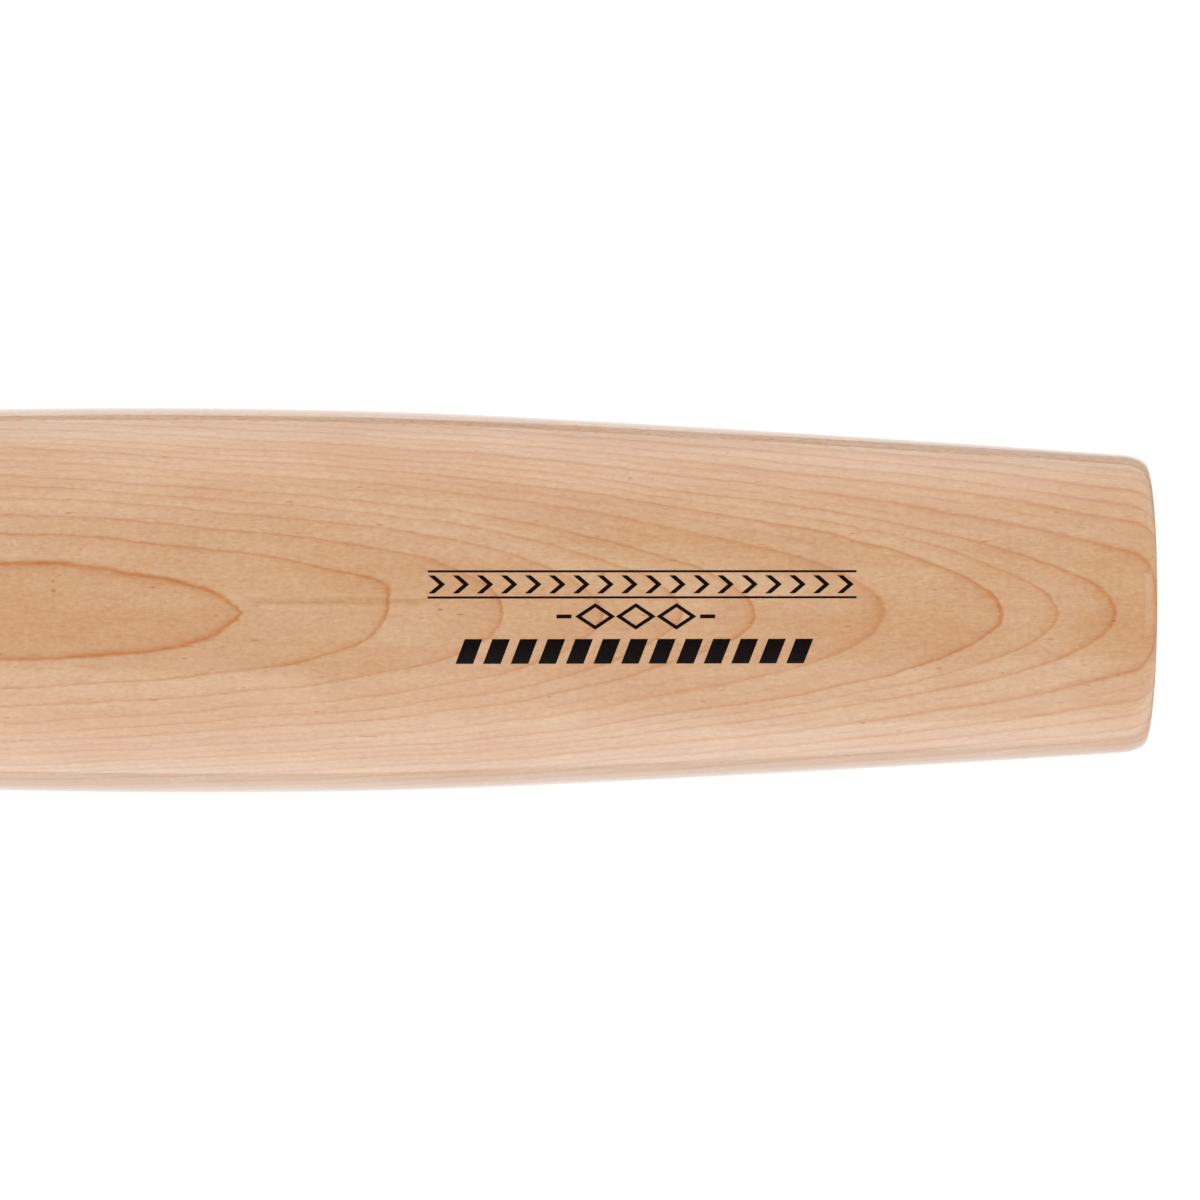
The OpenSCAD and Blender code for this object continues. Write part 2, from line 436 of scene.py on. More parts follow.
def maple():
    g = Graph("maple", **LACQUER)
    p = g.object_mm()
    x, y, z = g.split(p)
    depth, slope, tip, side = ring_depth(g, *wandering(g, p))
    count = ring_count(g, depth)
    within = g.math("FRACT", count)

    # a line is sharp on the barrel-end side and fades the other way, where the wood also darkens
    distance = g.over(g.times(g.minus(count, g.math("ROUND", count)), TYPICAL_RING), slope)
    bold = g.step(depth, *BOLD_DEPTHS)
    inner_width = g.times_plus(bold, LINE_INNER_BOLD, g.times_plus(tip, LINE_INNER_AT_TIP, LINE_INNER))
    fade = g.math("MAXIMUM", g.over(distance, inner_width), g.over(distance, -LINE_OUTER))
    plateau = g.times_plus(tip, 1.1, 1.5)
    line = g.math("MINIMUM", g.times(g.math("EXPONENT", g.times(fade, -1.0)), plateau), 1.0)
    patchy = g.noise(p, (11, 5, 5), detail=1.0)
    line = g.times(line, g.times(ring_strength(g, depth), g.ramp(patchy, 0.3, 0.7, 0.65, 1.0)))
    faint = 0.0
    for level in FAINT_LINES:
        apart = g.over(g.math("ABSOLUTE", g.minus(depth, level)), slope)
        faint = g.plus(faint, g.math("EXPONENT", g.times(apart, -FAINT_LINE_FALL)))
    faint = g.times(faint, g.ramp(patchy, 0.3, 0.6, 0.3, 1.0), g.step(tip, 0.1, 0.45, 0.8, 0.0))
    late_wood = g.times(g.math("EXPONENT", g.over(within, -0.14)), 0.65)
    shade = g.plus(g.times(g.minus(1.0, within), 0.5), late_wood)

    # fibres run along the bat; rays are fine dashes on the face and broad flecks on the sides
    fibre = g.noise(p, (1.5, 0.36, 0.36), detail=3.0, rough=0.75)
    strand = g.noise(p, (26, 1.3, 1.3))
    ripple = g.noise(p, (0.9, 0.7, 0.7))
    cloud = g.noise(p, (30, 9, 9), detail=3.0)
    blush = g.noise(p, (5, 3.5, 3.5), detail=1.0)
    ray = g.step(g.noise(p, (1.5, 0.3, 1.5), detail=1.0), 0.50, 0.70)
    flecked = g.times(g.step(side, 0.72, 0.745, 0.1, 1.0), g.step(y, -5.0, 5.0, 0.3, 1.0))
    speck = g.step(g.noise(p, (2.0, 0.6, 0.6), detail=0.0), 0.80, 0.90)

    # one dark mineral streak runs along the middle of the printed face
    streak = g.times(g.step(x, *STREAK_START), g.step(x, *STREAK_END, 1.0, 0.0))
    streak = g.times(streak, g.step(g.math("ABSOLUTE", y), *STREAK_SIDE, 1.0, 0.0))
    streak = g.times(streak, g.math("GREATER_THAN", z, 0.0), g.ramp(strand, 0.3, 0.6, 0.4, 1.0))

    # end grain drinks the lacquer and is more orange, and so is a little of the wood before it
    facing = g.split(g.add("NewGeometry").outputs["Normal"])[0]
    end_grain = g.step(g.math("ABSOLUTE", facing), 0.1, 0.85)
    near_end = g.step(x, LENGTH - 18.0, LENGTH - 4.0, 0.0, 0.35)
    pores = g.step(g.noise(p, (4, 0.25, 0.25), detail=1.0), 0.6, 0.75)

    line_tint = g.mix(tip, (0.86, 0.745, 0.655), (0.90, 0.61, 0.41))
    line_tint = g.mix(bold, line_tint, (0.86, 0.59, 0.40))
    tone = g.mix(g.ramp(cloud, 0.35, 0.65), srgb(230, 196, 163), srgb(223, 181, 143))
    tone = g.mix(g.ramp(blush, 0.35, 0.65, 0.0, 0.3), tone, srgb(221, 180, 152))
    for factor, by in (
        (g.times(shade, 0.8), (0.94, 0.85, 0.77)),
        (g.ramp(strand, 0.35, 0.65, 0.0, 0.45), (0.95, 0.89, 0.83)),
        (g.ramp(fibre, 0.32, 0.68), (0.90, 0.82, 0.73)),
        (g.ramp(ripple, 0.35, 0.65, 0.0, 0.8), (0.93, 0.88, 0.83)),
        (faint, (0.87, 0.78, 0.70)),
        (line, line_tint),
        (streak, (0.88, 0.79, 0.68)),
        (g.times(ray, flecked), (0.93, 0.70, 0.38)),
        (speck, (0.80, 0.60, 0.45)),
        (g.math("MAXIMUM", end_grain, near_end), (0.92, 0.80, 0.62)),
        (g.times(pores, end_grain, 0.5), (0.7, 0.55, 0.45)),
    ):
        tone = g.tint(factor, tone, by)
    g.colour(tone)
    g.roughness(g.ramp(fibre, 0.2, 0.8, 0.42, 0.55))
    g.bump(g.plus(fibre, g.times(line, -0.6)), 0.01, 0.35)
    return g.material


MAPLE = maple()


# ---------------------------------------------------------------- barrel
def arc(centre_x, centre_r, half_x, half_r, start, end, n):
    """(x, radius) points on an ellipse. Angle 0 is away from the axis, 90 towards the rim."""
    points = []
    for i in range(n + 1):
        a = math.radians(start + (end - start) * i / n)
        points.append((centre_x + half_x * math.sin(a), centre_r + half_r * math.cos(a)))
    return points


def barrel_outline():
    """Spigot, turned face, rolled rim, lip and cup."""
    chamfered = SPIGOT_TIP + TIP_CHAMFER
    points = [(SPIGOT_TIP, 0.0), (SPIGOT_TIP, spigot(SPIGOT_TIP) - TIP_CHAMFER)]
    points += [(chamfered, spigot(chamfered)), (SEAM_X, spigot(SEAM_X))]
    points += turned_points(SEAM_X, LENGTH - RIM_ROLL)
    roll_steps, lip_steps, cup_steps = 16, 10, 24
    for i in range(1, roll_steps + 1):
        a = math.radians(90 * i / roll_steps)
        x = LENGTH - RIM_ROLL * (1 - math.sin(a))
        points.append((x, turned(x) - RIM_DROP * (1 - math.cos(a))))
    points += arc(LENGTH - CUP_LIP, CUP_R + CUP_LIP, CUP_LIP, CUP_LIP, 90, 180, lip_steps)
    for i in range(1, cup_steps + 1):
        a = math.radians(90 * i / cup_steps)
        points.append((LENGTH - CUP_LIP - (CUP_DEPTH - CUP_LIP) * math.sin(a), CUP_R * math.cos(a)))
    points[-1] = (points[-1][0], 0.0)
    return points


barrel = lathe("barrel_turned", barrel_outline(), MAPLE)
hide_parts("barrel")

# ---------------------------------------------------------------- print on the barrel
# Plain marks with no lettering: a row of stitches, three small lozenges and a slanted hatch bar.
INK_THICK = 0.03
PRINT_MIDDLE = LENGTH - 84.1
PRINT_TILT = 0.0045


def on_barrel(x, across, lift):
    """A point over the printed face. across is measured round the barrel, towards +Y."""
    r = turned(x)
    a = (across + (x - PRINT_MIDDLE) * PRINT_TILT) / r
    return (x * MM, (r + lift) * MM * math.sin(a), (r + lift) * MM * math.cos(a))


def ink():
    g = Graph("ink", **LACQUER)
    mottle = g.noise(g.object_mm(), (0.5, 0.2, 0.2))
    g.colour(g.mix(g.ramp(mottle, 0.35, 0.7), (0.004, 0.002, 0.002), (0.010, 0.006, 0.005)))
    g.roughness(g.ramp(mottle, 0.2, 0.8, 0.35, 0.6))
    g.bump(mottle, 0.006, 0.3)
    return g.material


def slab(bm, stops, closed=False, cuts=8):
    """A thin slab of ink that follows the barrel's round from stop to stop.

    A stop is the two (x, across) points where the slab's edges are."""
    spots = []
    next_stops = stops[1:] + stops[:1] if closed else stops[1:]
    for here, there in zip(stops, next_stops):
        for i in range(cuts):
            spots.append([[a + (b - a) * i / cuts for a, b in zip(*edge)] for edge in zip(here, there)])
    if not closed:
        spots.append(stops[-1])
    lifts = (-INK_THICK, INK_THICK)
    rows = [[bm.verts.new(on_barrel(*point, lift)) for lift in lifts for point in spot] for spot in spots]
    next_rows = rows[1:] + rows[:1] if closed else rows[1:]
    for a, b in zip(rows, next_rows):
        bm.faces.new((a[2], b[2], b[3], a[3]))
        bm.faces.new((a[1], b[1], b[0], a[0]))
        bm.faces.new((a[0], b[0], b[2], a[2]))
        bm.faces.new((a[3], b[3], b[1], a[1]))
    if not closed:
        for end_row in (rows[0], rows[-1]):
            bm.faces.new((end_row[0], end_row[1], end_row[3], end_row[2]))


def cut_along(x, across, half):
    """A stop whose two edges lie one after the other along the bat."""
    return ((x - half, across), (x + half, across))


def rail(bm, start, end, across, width):
    """An even line of ink along the bat."""
    slab(bm, [((x, across - width / 2), (x, across + width / 2)) for x in (start, end)])


def printed(name, draw):
    """A printed piece whose slabs are made by draw."""
    bm = bmesh.new()
    draw(bm)
    mesh = bpy.data.meshes.new(name)
    write(bm, mesh)
    piece = add_object(name, mesh, INK)


def stitch_row(bm):
    """Stitches like those of a ball's seam, between two fine rails."""
    middle, half_height, half_width, pitch, count = 2.85, 1.45, 0.48, 3.85, 18
    point, slant = 2.3, 1.7
    rail_off, rail_width, rail_short = 2.1, 0.34, 0.6
    start = LENGTH - 117.4
    for i in range(count):
        tip = start + i * pitch + point
        slab(bm, [cut_along(tip - slant * abs(side), middle + side * half_height, half_width)
                  for side in (1, 0, -1)])
    for side in (1, -1):
        rail(bm, start, start + count * pitch - rail_short, middle + side * rail_off, rail_width)


def lozenge_row(bm):
    """Three outlined lozenges with a short line each side."""
    middle, half_height, half_length, half_width, gap = -2.3, 1.8, 2.7, 0.5, 1.1
    dash_length, dash_width = 2.4, 0.6
    sizes = (1 - half_width / half_length, 1 + half_width / half_length)
    corners = ((1, 0), (0, 1), (-1, 0), (0, -1))
    for i in (-1, 0, 1):
        x = PRINT_MIDDLE + i * (2 * half_length + gap)
        slab(bm, [[(x + sx * half_length * size, middle + sy * half_height * size) for size in sizes]
                  for sx, sy in corners], closed=True)
    for side in (1, -1):
        start = PRINT_MIDDLE + side * (3 * half_length + 2 * gap)
        rail(bm, start, start + side * dash_length, middle, dash_width)


def hatch_bar(bm):
    """A bold bar of slanted blocks."""
    middle, half_height, half_width, slant, pitch, count = -8.0, 2.05, 1.4, 1.5, 4.42, 13
    start = LENGTH - 110.8
    for i in range(count):
        slab(bm, [cut_along(start + i * pitch + side * slant / 2, middle + side * half_height, half_width)
                  for side in (-1, 1)])


INK = ink()
printed("barrel_print_stitches", stitch_row)
printed("barrel_print_lozenges", lozenge_row)
printed("barrel_print_bar", hatch_bar)

# ---------------------------------------------------------------- materials of the handle's end
def round_the_bat(g, p):
    """Turns round the axis, from 0 to 1, and distance along it in millimetres."""
    x, y, z = g.split(p)
    return g.times_plus(g.math("ARCTAN2", y, z), 1 / (2 * math.pi), 0.5), x


def woven(g, over, a, b):
    """a where the tow that runs along the bat is on top, and b elsewhere."""
    return g.plus(g.times(over, a), g.times(g.minus(1.0, over), b))


def composite():
    """Twill of carbon tows under a gloss coat. The tows run straight and round."""
    tows_round, tows_per_mm, twill = 40.0, 0.53, 4.0
    g = Graph("composite", Coat_Weight=1.0, Coat_Roughness=0.04, Coat_IOR=1.5, Metallic=0.1)
    p = g.object_mm()
    turn, x = round_the_bat(g, p)
    drift = g.swing(g.noise(p, (14, 9, 9), detail=1.0), 0.25)
    u = g.times_plus(turn, tows_round, drift)
    v = g.times_plus(x, tows_per_mm, drift)
    place = g.math("MODULO", g.plus(g.math("FLOOR", u), g.math("FLOOR", v)), twill)
    over = g.math("LESS_THAN", place, 1.5)
    round_u, round_v = [g.math("SINE", g.times(g.math("FRACT", w), math.pi)) for w in (u, v)]
    height = woven(g, over, round_u, round_v)
    thread_u = g.noise(g.join(x, g.times(turn, 900.0), 0.0), (9.0, 1.0, 1.0), detail=3.0)
    thread_v = g.noise(g.join(g.times(x, 11.0), g.times(turn, 12.0), 0.0), detail=3.0)
    thread = woven(g, over, thread_u, thread_v)
    # painted sheen: the tows that run along the bat are painted lighter than those that run round it
    tone = g.mix(over, (0.014, 0.015, 0.017), (0.040, 0.042, 0.047))
    tone = g.mix(g.ramp(thread, 0.3, 0.7, 0.0, 0.5), tone, (0.060, 0.063, 0.070))
    # painted shade where the tows dip into the gaps between them
    tone = g.tint(g.ramp(height, 0.0, 0.5, 0.85, 0.0), tone, (0.25, 0.25, 0.25))
    g.colour(tone)
    g.roughness(g.ramp(thread, 0.2, 0.8, 0.30, 0.50))
    g.bump(g.times_plus(thread, 0.2, height), 0.03, 0.5)
    return g.material


def moulded(name, dark, light, roughness, grain=0.35, depth=0.012):
    """Plastic or rubber from a mould: a fine satin grain with faint flow marks and scuffs."""
    g = Graph(name, Specular_IOR_Level=0.45)
    p = g.object_mm()
    pebble = g.noise(p, (grain, grain, grain))
    flow = g.noise(p, (6.0, 2.5, 2.5), detail=3.0)
    scuff = g.step(g.noise(p, (0.5, 3.0, 0.35)), 0.62, 0.74)
    scuffed = tuple(min(1.0, c * 2.2) for c in light)
    tone = g.mix(g.ramp(flow, 0.35, 0.65), dark, light)
    g.colour(g.mix(g.times(scuff, 0.25), tone, scuffed))
    satin = g.ramp(pebble, 0.2, 0.8, roughness - 0.08, roughness + 0.08)
    g.roughness(g.plus(satin, g.times(scuff, 0.08)))
    g.bump(g.times_plus(scuff, -0.3, pebble), depth, 0.6)
    return g.material


def brushed_metal():
    """Aluminium brushed in circles about the bat's axis."""
    g = Graph("medallion", Metallic=1.0)
    p = g.object_mm()
    x, y, z = g.split(p)
    turn, _ = round_the_bat(g, p)
    circles = g.join(g.times(g.length(y, z), 9.0), g.times(turn, 2.5), 0.0)
    rings = g.noise(circles, detail=4.0, rough=0.7)
    cloud = g.noise(p, (4, 4, 4))
    tone = g.mix(g.ramp(rings, 0.3, 0.7), (0.40, 0.41, 0.43), (0.62, 0.63, 0.65))
    g.colour(g.tint(g.ramp(cloud, 0.4, 0.7, 0.0, 0.4), tone, (0.85, 0.85, 0.86)))
    g.roughness(g.ramp(rings, 0.3, 0.7, 0.22, 0.42))
    g.bump(rings, 0.01, 0.4)
    return g.material


WRAP_PITCH = 25.0
HOLE_ROW = 2.5
HOLES_ROUND = 34
GRIP_GIRTH = 83.0


def grip_leather():
    """Perforated synthetic leather: pebbled, with rows of pinholes that follow the wrap."""
    g = Graph("grip", Specular_IOR_Level=0.4)
    p = g.object_mm()
    turn, x = round_the_bat(g, p)
    along = g.times(turn, HOLES_ROUND)
    across = g.over(g.times_plus(turn, -WRAP_PITCH, x), HOLE_ROW)
    staggered = g.times_plus(g.math("MODULO", g.math("FLOOR", across), 2.0), 0.5, along)
    hole_u = g.times(g.minus(g.math("FRACT", staggered), 0.5), GRIP_GIRTH / HOLES_ROUND)
    hole_v = g.times(g.minus(g.math("FRACT", across), 0.5), HOLE_ROW)
    hole = g.step(g.length(hole_u, hole_v), 0.28, 0.46, 1.0, 0.0)
    pebble = g.cells(p, 0.6)
    crease = g.noise(p, (2.4, 1.4, 1.4), detail=3.0)
    worn = g.step(g.noise(p, (24, 9, 9)), 0.45, 0.65)
    tone = g.mix(g.ramp(crease, 0.3, 0.7), (0.012, 0.012, 0.013), (0.026, 0.026, 0.028))
    tone = g.mix(g.times(worn, 0.4), tone, (0.040, 0.040, 0.042))
    # the pinholes are painted near black: painted shade in their depth
    g.colour(g.mix(hole, tone, (0.002, 0.002, 0.002)))
    g.roughness(g.times_plus(worn, -0.1, g.ramp(pebble, 0.0, 0.8, 0.62, 0.78)))
    height = g.times_plus(hole, -2.5, g.times(pebble, -1.0))
    g.bump(g.times_plus(crease, 0.6, height), 0.07, 0.7)
    return g.material


def hidden(name, dark, light, roughness, pore):
    """Adhesive, foam and tape inside the joints."""
    g = Graph(name)
    cells = g.cells(g.object_mm(), pore)
    g.colour(g.mix(g.ramp(cells, 0.1, 0.7), dark, light))
    g.roughness(g.ramp(cells, 0.0, 0.8, roughness, min(1.0, roughness + 0.15)))
    g.bump(cells, 0.05, 0.4)
    return g.material


for material, nodes in (
    (hidden("adhesive", (0.45, 0.36, 0.08), (0.64, 0.51, 0.14), 0.3, 1.6), ("spigot_bond", "knob_bond")),
    (hidden("foam", (0.62, 0.58, 0.48), (0.84, 0.80, 0.68), 0.8, 1.1), ("foam_plug",)),
    (hidden("tape", (0.60, 0.58, 0.51), (0.72, 0.70, 0.63), 0.7, 0.7), ("grip_tape",)),
):
    for node in nodes:
        for material_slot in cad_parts[node].material_slots:
            material_slot.material = material

# ---------------------------------------------------------------- handle, seam ring and knob
SEAT_R = HANDLE_R - SEAT_DEPTH
MOUTH_ROUND = 0.3
MOUTH_DROP = 0.25
RING_BULGE = 0.25

handle_outline = [(KNOB_SEAT, BORE_R), (KNOB_SEAT, SEAT_R)]
handle_outline += [(KNOB_SKIRT_END, SEAT_R), (KNOB_SKIRT_END, HANDLE_R)]
handle_outline += turned_points(GRIP_ZONE_END, MOUTH_X - MOUTH_ROUND)
handle_outline += [(MOUTH_X, turned(MOUTH_X) - MOUTH_DROP), (MOUTH_X, socket(MOUTH_X))]
handle_outline += [(SOCKET_START, BORE_R)]
handle = lathe("handle_tube", handle_outline, composite())
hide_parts("handle_shell")

ring_steps = 14
ring_outline = [(MOUTH_X, spigot(MOUTH_X))]
for i in range(ring_steps + 1):
    x = MOUTH_X + (SEAM_X - MOUTH_X) * i / ring_steps
    ring_outline.append((x, turned(x) + RING_BULGE * math.sin(math.pi * i / ring_steps)))
ring_outline.append((SEAM_X, spigot(SEAM_X)))
ring_rubber = moulded("ring_rubber", (0.012, 0.012, 0.013), (0.022, 0.022, 0.024), 0.55)
ring = lathe("seam_ring_moulded", ring_outline, ring_rubber)
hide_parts("seam_ring")

# the knob's rounded shoulder runs into the hollow of its neck, which is an arc round this centre
NECK_CENTRE_R = HANDLE_R + NECK_R
NECK_ABOVE_SHOULDER = NECK_CENTRE_R - (KNOB_R - SHOULDER_R)
NECK_CENTRE_X = KNOB_MIDDLE + math.sqrt((SHOULDER_R + NECK_R) ** 2 - NECK_ABOVE_SHOULDER ** 2)
DISC_GAP = 0.1
KNOB_BOND = 0.15


def knob_outline():
    """Disc's recess, domed end, shoulder, neck and the bore over the handle."""
    recess_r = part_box("knob_medallion")[1][1] / MM + DISC_GAP
    bore = SEAT_R + KNOB_BOND
    dome, edge, edge_middle = 8.0, 0.3, 0.09
    points = [(MEDALLION_THICK, 0.0), (MEDALLION_THICK, recess_r), (edge, recess_r)]
    points += [(edge_middle, recess_r + edge_middle), (0.0, recess_r + edge)]
    points += arc(KNOB_MIDDLE, KNOB_R - dome, KNOB_MIDDLE, dome, -90, -4, 24)
    lean = math.degrees(math.atan2(NECK_CENTRE_X - KNOB_MIDDLE, NECK_ABOVE_SHOULDER))
    points += arc(KNOB_MIDDLE, KNOB_R - SHOULDER_R, SHOULDER_R, SHOULDER_R, 0, lean, 20)
    points += arc(NECK_CENTRE_X, NECK_CENTRE_R, -NECK_R, -NECK_R, lean, 0, 24)[1:]
    points += [(KNOB_SKIRT_END, HANDLE_R), (KNOB_SKIRT_END, bore), (KNOB_SEAT, bore), (KNOB_SEAT, 0.0)]
    return points


knob_plastic = moulded("knob_plastic", (0.010, 0.011, 0.012), (0.018, 0.019, 0.020), 0.42)
knob = lathe("knob_moulded", knob_outline(), knob_plastic)
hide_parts("knob")


def medallion_outline():
    """A disc with a turned groove and a shallow dished middle."""
    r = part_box("knob_medallion")[1][1] / MM
    dish = [(0.22, 0.0), (0.20, 3.0), (0.12, 7.0), (0.0, 9.6), (0.0, 10.4)]
    groove = [(0.22, 10.6), (0.22, 11.1), (0.0, 11.3)]
    edge = [(0.0, r - 0.25), (0.08, r - 0.07), (0.25, r)]
    return dish + groove + edge + [(MEDALLION_THICK, r), (MEDALLION_THICK, 0.0)]


medallion = lathe("knob_medallion_disc", medallion_outline(), brushed_metal())
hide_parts("knob_medallion")


# ---------------------------------------------------------------- grip wrap and finishing band
def sleeve(name, places, inside, outside, material, segments):
    """A closed sleeve with radii inside(x) and outside(x, share of a turn)."""
    verts, faces = [], []
    for radius in (outside, inside):
        for x in places:
            for i in range(segments):
                a = 2 * math.pi * i / segments - math.pi
                r = (radius(x, i / segments) if radius is outside else radius(x)) * MM
                verts.append((x * MM, r * math.sin(a), r * math.cos(a)))
    rows = len(places)
    last = rows - 1

    def at(shell, row, i):
        return (shell * rows + row) * segments + i % segments

    for i in range(segments):
        for row in range(last):
            faces.append((at(0, row, i), at(0, row + 1, i), at(0, row + 1, i + 1), at(0, row, i + 1)))
            faces.append((at(1, row, i), at(1, row, i + 1), at(1, row + 1, i + 1), at(1, row + 1, i)))
        faces.append((at(0, 0, i), at(0, 0, i + 1), at(1, 0, i + 1), at(1, 0, i)))
        faces.append((at(0, last, i), at(1, last, i), at(1, last, i + 1), at(0, last, i + 1)))
    mesh = bpy.data.meshes.new(name)
    mesh.from_pydata(verts, [], faces)
    bm = bmesh.new()
    bm.from_mesh(mesh)
    write(bm, mesh)
    smooth(mesh, sharp_degrees=50)
    return add_object(name, mesh, material)


def under_grip(x):
    """The neck of the knob, then the tape on the handle."""
    on_tape = turned(x) + TAPE_THICK
    if x >= NECK_CENTRE_X:
        return on_tape
    return max(NECK_CENTRE_R - math.sqrt(NECK_R ** 2 - (x - NECK_CENTRE_X) ** 2), on_tape)


# LAP and EDGE_ROUND are shares of the pitch, START_THIN is a share of the thickness, the rest millimetres
LAP = 0.14
LAP_RISE = 0.5
EDGE_ROUND = 0.035
PADDING = 0.12
START_THIN = 0.62
START_RISE = 2.0
TOP_FLAT, TOP_FADE = 1.0, 6.0


def over_grip(x, turn):
    """Each turn of the wrap laps the one before, with a rounded edge and a softly padded middle.

    The wrap starts thin, and its laps fade out towards the top, where the band covers it."""
    t = ((x - GRIP_START) / WRAP_PITCH - turn) % 1.0
    after_lap = max(0.0, (t - LAP) / (1.0 - LAP))
    if t < EDGE_ROUND:
        lift = math.sqrt(1.0 - (1.0 - t / EDGE_ROUND) ** 2)
    elif t < LAP:
        lift = 1.0
    else:
        lift = 1.0 - 0.72 * min(1.0, after_lap * 5.0) ** 0.8 - 0.28 * after_lap ** 2
    padding = PADDING * math.sin(math.pi * after_lap)
    started = min(1.0, (x - GRIP_START) / START_RISE)
    top = min(1.0, max(0.0, (GRIP_TOP - TOP_FLAT - x) / TOP_FADE))
    full = GRIP_THICK * (START_THIN + (1 - START_THIN) * started)
    return under_grip(x) + full - (LAP_RISE * (1 - lift) + PADDING - padding) * top


GRIP_STEPS = 420
grip_places = [GRIP_START + START_RISE * i / 8 for i in range(8)]
grip_places += [GRIP_START + START_RISE + (GRIP_TOP - GRIP_START - START_RISE) * i / GRIP_STEPS
                for i in range(GRIP_STEPS + 1)]
grip = sleeve("grip_wrap_leather", grip_places, under_grip, over_grip, grip_leather(), 112)
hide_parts("grip_wrap")

BAND_THICK = 0.35
BAND_EDGE = 0.5
BAND_EDGE_THIN = 0.35
BAND_END_THIN = 0.62
BAND_LAP = 0.03
BAND_STEPS, BAND_EDGE_STEPS = 48, 5
BAND_START, BAND_END = span("finishing_band")
LANDING = GRIP_TOP + 3.0


def under_band(x):
    """Over the grip's top, down a short step, and on to the handle."""
    proud = TAPE_THICK + GRIP_THICK
    if x <= GRIP_TOP:
        return turned(x) + proud
    if x >= LANDING:
        return turned(x)
    share = (x - GRIP_TOP) / (LANDING - GRIP_TOP)
    return turned(x) + proud * (0.5 + 0.5 * math.cos(math.pi * share))


def over_band(x, turn):
    """The tape is wound once round and its end laps its start. Its two edges are rounded."""
    edge = min(1.0, (x - BAND_START) / BAND_EDGE, (BAND_END - x) / BAND_EDGE)
    wound = BAND_END_THIN + (1 - BAND_END_THIN) * min(1.0, (1.0 - turn) / (1 - BAND_LAP))
    rounded = BAND_EDGE_THIN + (1 - BAND_EDGE_THIN) * math.sqrt(max(0.0, edge))
    return under_band(x) + BAND_THICK * wound * rounded


band_places = [BAND_START + BAND_EDGE * i / BAND_EDGE_STEPS for i in range(BAND_EDGE_STEPS + 1)]
band_places += [BAND_START + BAND_EDGE + (BAND_END - BAND_START - 2 * BAND_EDGE) * i / BAND_STEPS
                for i in range(1, BAND_STEPS + 1)]
band_places += [BAND_END - BAND_EDGE * i / BAND_EDGE_STEPS for i in range(BAND_EDGE_STEPS - 1, -1, -1)]
vinyl = moulded("vinyl", (0.008, 0.008, 0.009), (0.016, 0.016, 0.017), 0.36, grain=0.8, depth=0.02)
band = sleeve("finishing_band_vinyl", band_places, under_band, over_band, vinyl, 192)
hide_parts("finishing_band")

# ---------------------------------------------------------------- stage: floor, lights, camera
BELLY_X, BELLY_R, _ = STATIONS[3]
LEAN = math.atan2(BELLY_R - KNOB_R, BELLY_X - KNOB_MIDDLE)
STAGE_REACH = 14000.0
CARD_END = 950.0
CARD_HALF_LENGTH = 2000.0
SEEN_FROM = 680.0
FADE_START, FADE_END = 120.0, 240.0
WHITE = 1.05


class Glow(Graph):
    """The same calls for a material that only gives white light."""

    def __init__(self, name, strength):
        self.material = bpy.data.materials.new(name)
        self.material.use_nodes = True
        self.tree = self.material.node_tree
        self.tree.nodes.clear()
        self.shader = self.add("Emission", {"Strength": strength})
        self.add("OutputMaterial", {0: self.shader.outputs[0]})


def glow_material(name, strength=1.0, across=None, along="Y", fade=None):
    """White light. across is a list of (millimetres from the bat's axis, strength) to go between.

    fade is the share of it that is left past FADE_END, which is measured from the belly."""
    g = Glow(name, strength)
    if across:
        place = g.split(g.add("TexCoord").outputs["Object"])
        reach = across[-1][0]
        top = max(level for _, level in across)
        share = g.math("ABSOLUTE", g.times(place[along], 1 / (reach * MM)))
        level = g.times(curve_through(g, share, [(mm / reach, v / top) for mm, v in across]), top)
        if fade is not None:
            level = g.times(level, g.ramp(place["X"], FADE_START * MM, FADE_END * MM, 1.0, fade))
        g.feed(g.shader.inputs["Strength"], level)
    return g.material


def stage_sheet(name, corners, faces, material, camera=False, diffuse=False, glossy=False, lean=True):
    """A sheet of the studio in millimetres. It never shades anything, and only some rays meet it.

    With lean it is measured from the plane that touches the belly and the knob."""
    mesh = bpy.data.meshes.new(name)
    mesh.from_pydata([tuple(c * MM for c in corner) for corner in corners], [], faces)
    mesh.materials.append(material)
    sheet = bpy.data.objects.new(name, mesh)
    bpy.context.scene.collection.objects.link(sheet)
    sheet.visible_camera = camera
    sheet.visible_diffuse = diffuse
    sheet.visible_glossy = glossy
    sheet.visible_transmission = camera
    sheet.visible_shadow = False
    if lean:
        sheet.rotation_euler.y = LEAN
        sheet.location = (BELLY_X * MM, 0.0, -BELLY_R * MM)


def square(reach, z):
    """The corners of a level square at height z."""
    return [(-reach, -reach, z), (reach, -reach, z), (reach, reach, z), (-reach, reach, z)]


ONE_SQUARE = [(0, 1, 2, 3)]

# the pale floor that the camera sees
stage_sheet("floor", square(STAGE_REACH, -BELLY_R - 1.0), ONE_SQUARE, glow_material("floor_white", WHITE),
            camera=True, lean=False)

# the light that the floor throws back, which is weak in the bat's own shade
BOUNCE = [(0, 0.0), (60, 0.1), (100, 0.6), (250, 1.0), (500, 1.1), (STAGE_REACH, 1.1)]
stage_sheet("floor_bounce", square(STAGE_REACH, 0.0), ONE_SQUARE, glow_material("bounce", across=BOUNCE),
            diffuse=True)

# what the lacquer mirrors of the floor, with the bat's shadow painted in: dimmer close beside the bat
MIRROR = [(0, 0.8), (36, 0.88), (41, 1.08), (47, 1.28), (65, 1.45), (100, 1.5), (STAGE_REACH, 1.5)]
stage_sheet("floor_mirror", square(STAGE_REACH, 0.0), ONE_SQUARE, glow_material("mirror", across=MIRROR),
            glossy=True)


